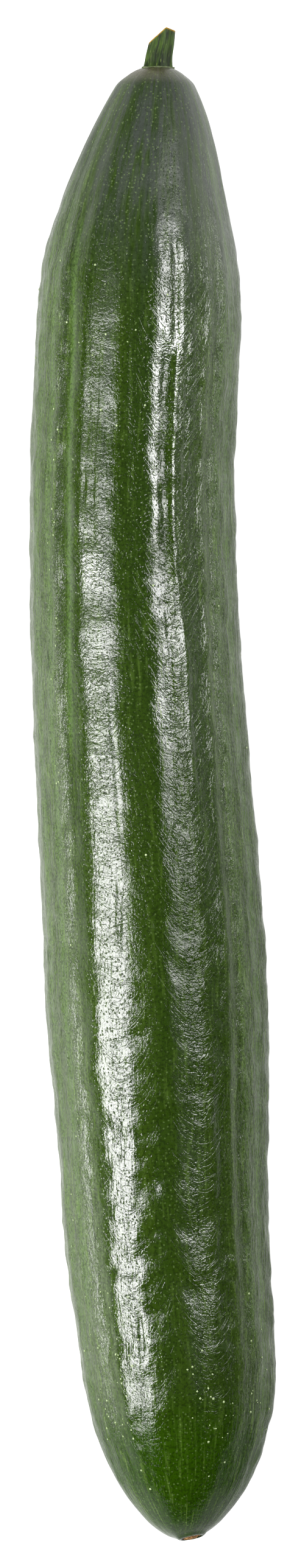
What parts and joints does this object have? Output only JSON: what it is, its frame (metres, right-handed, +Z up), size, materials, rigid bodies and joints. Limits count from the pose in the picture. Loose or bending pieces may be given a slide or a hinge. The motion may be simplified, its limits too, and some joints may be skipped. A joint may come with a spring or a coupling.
{
  "type": "cucumber",
  "caption": "Long slicing cucumber, slightly bowed and ribbed, with the stub of its stem at one end and a small corky flower scar at the other.",
  "frame": {"origin": "middle of the object's footprint, on the surface that it lies on", "axes": "+Y along the fruit towards its stem, +Z up off the surface, +X to the right when it is seen from above with the stem away from the viewer"},
  "size_m": [0.0536, 0.3301, 0.0482],
  "materials": {
    "skin": "waxy dark green skin with paler stripes, glossy with a fine grain, duller towards the stem",
    "stem": "dull green, ridged lengthwise, with a dry yellow-brown rim at the cut",
    "scar": "dry, rough, orange-brown cork"
  },
  "bodies": {
    "root": {"fruit": "skin", "stem": "stem", "blossom_scar": "scar"}
  },
  "joints": []
}
